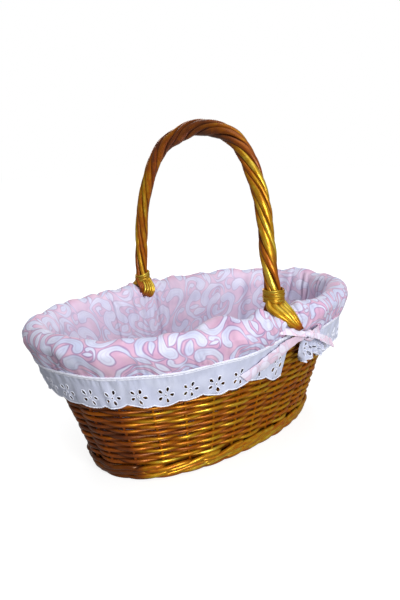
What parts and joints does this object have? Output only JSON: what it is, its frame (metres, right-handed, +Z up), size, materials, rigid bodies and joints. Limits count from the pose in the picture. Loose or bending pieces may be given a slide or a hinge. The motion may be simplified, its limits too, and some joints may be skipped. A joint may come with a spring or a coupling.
{
  "type": "flower girl basket",
  "caption": "Oval flared wicker basket with a fixed roped bow handle, a tied pink print cloth liner and a turned-down cuff edged with white eyelet trim.",
  "frame": {"origin": "middle of the footprint on the ground", "axes": "+X along the basket's length, +Y across it from handle foot to handle foot, +Z up"},
  "size_m": [0.3984, 0.261, 0.3327],
  "materials": {
    "willow": "willow rods with a worn gold and copper-brown paint, satin gloss",
    "liner_print": "plain-weave cotton, printed in pink, white and mauve-grey",
    "eyelet_trim": "white cotton with embroidered eyelets",
    "tie_cloth": "narrow folded cotton in pale pink"
  },
  "bodies": {
    "root": {"base_long_sticks": "willow", "base_cross_sticks": "willow", "base_weave_under": "willow", "base_weave_top": "willow", "foot_border": "willow", "bottom_wale": "willow", "side_stakes": "willow", "outer_weave": "willow", "inner_weave": "willow", "rim_border": "willow", "handle_core": "willow", "handle_strands": "willow", "near_collar": "willow", "far_collar": "willow", "near_outer_lashing": "willow", "near_inner_lashing": "willow", "far_outer_lashing": "willow", "far_inner_lashing": "willow", "liner_floor": "liner_print", "left_panel": "liner_print", "right_panel": "liner_print", "left_heading": "eyelet_trim", "right_heading": "eyelet_trim", "left_lace": "eyelet_trim", "right_lace": "eyelet_trim", "near_left_strap": "tie_cloth", "near_right_strap": "tie_cloth", "near_knot": "tie_cloth", "near_left_tail": "tie_cloth", "near_right_tail": "tie_cloth", "far_left_strap": "tie_cloth", "far_right_strap": "tie_cloth", "far_knot": "tie_cloth", "far_left_tail": "tie_cloth", "far_right_tail": "tie_cloth"}
  },
  "joints": []
}
